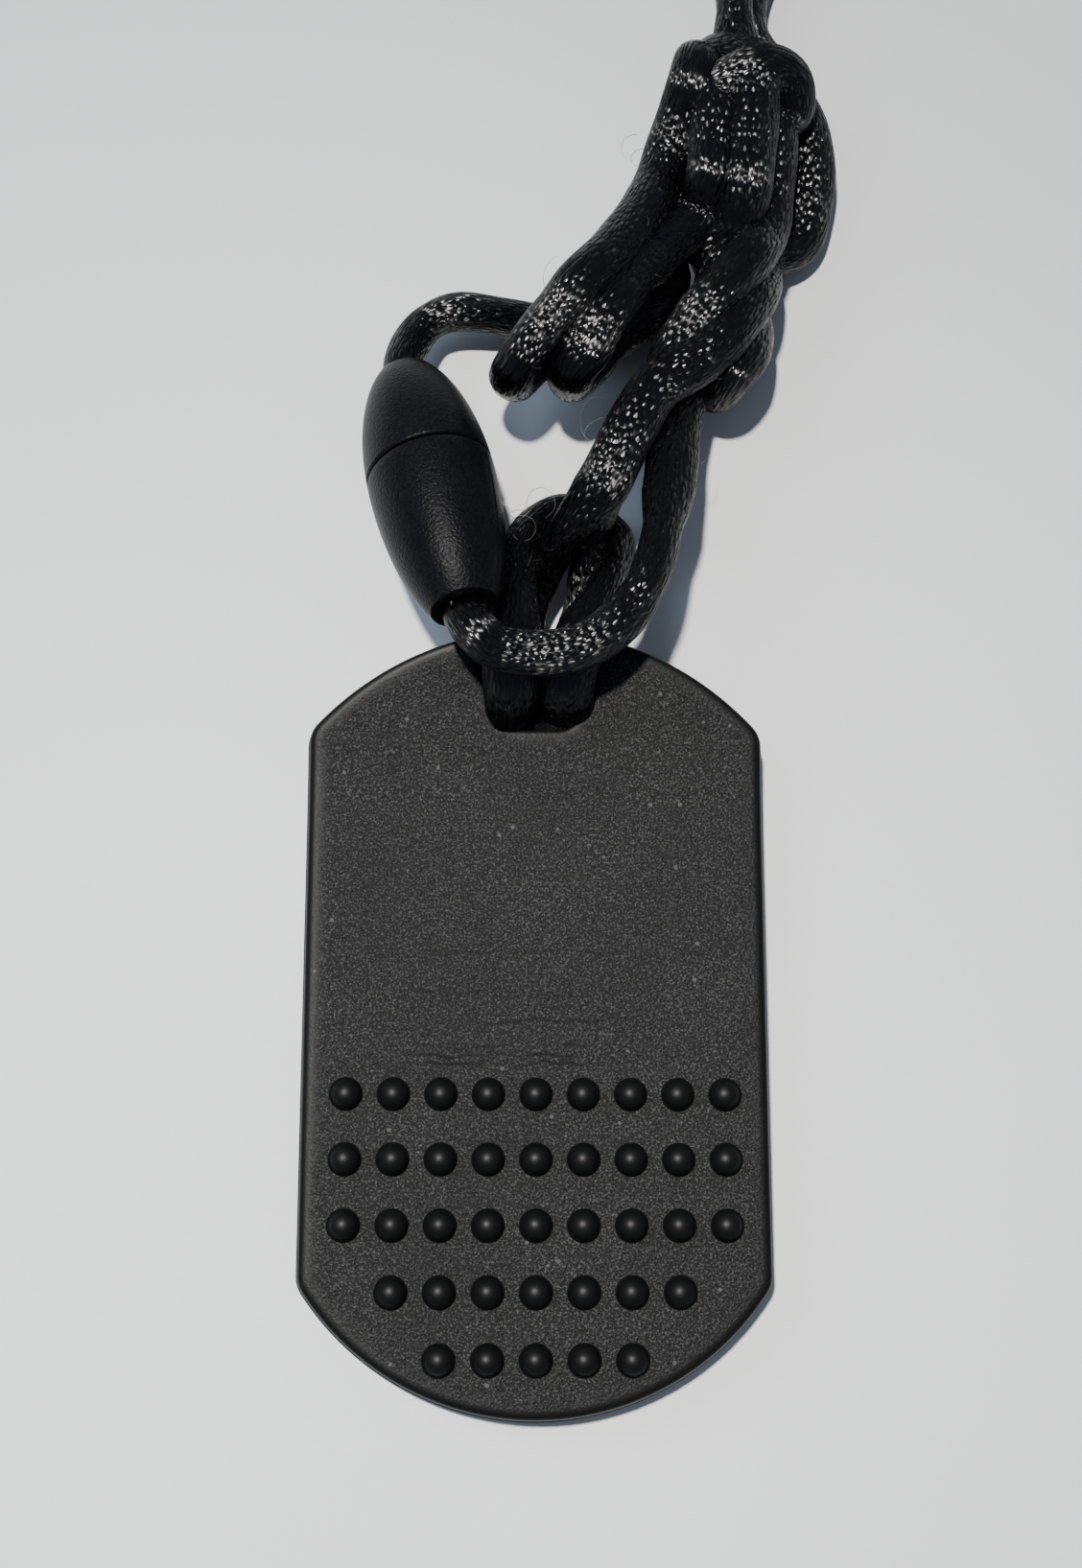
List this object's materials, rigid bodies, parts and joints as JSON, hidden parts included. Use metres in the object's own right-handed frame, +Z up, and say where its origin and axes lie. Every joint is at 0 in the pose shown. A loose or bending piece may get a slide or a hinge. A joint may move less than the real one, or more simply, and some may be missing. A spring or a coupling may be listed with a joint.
{
  "type": "chew pendant necklace",
  "caption": "Soft dog-tag chew pendant with raised domes, hitched to a braided cord that closes with a two-part breakaway barrel clasp.",
  "frame": {"origin": "on the tag's flat back face, midway between its sides and 30.9 mm from its domed end, on the surface that the part lies on", "axes": "+X across the tag, +Y along the tag from its domed end towards its eyelet, +Z up out of the tag's face"},
  "size_m": [0.0438, 0.1943, 0.0135],
  "materials": {
    "tag_silicone": "matte",
    "clasp_plastic": "matte",
    "cord_fibre": "satin braid",
    "tie_paper": "matte"
  },
  "bodies": {
    "pendant": {"tag": "tag_silicone", "clasp_plug_half": "clasp_plastic", "cord_knot_plug": "cord_fibre", "cord_to_plug": "cord_fibre", "cord_hitch": "cord_fibre", "cord_to_socket": "cord_fibre", "cord_side_loop": "cord_fibre", "cord_to_tail": "cord_fibre", "hank_bundle": "cord_fibre", "hank_lobe_left": "cord_fibre", "hank_lobe_right": "cord_fibre", "hank_tail": "cord_fibre", "hank_tie": "tie_paper"},
    "pulled_knot": {"cord_knot_socket": "cord_fibre"},
    "socket": {"clasp_socket_half": "clasp_plastic"}
  },
  "joints": [
    {"name": "clasp_release", "type": "slide", "parent": "pendant", "child": "pulled_knot", "axis": [-0.2168, 0.9389, -0.2672], "range_m": [0, 0.0065], "deforming": ["cord_to_socket"]},
    {"name": "socket_spin", "type": "hinge", "parent": "pulled_knot", "child": "socket", "pos_m": [-0.0085, 0.0422, 0.0073], "axis": [-0.2168, 0.9389, -0.2672], "continuous": true}
  ]
}
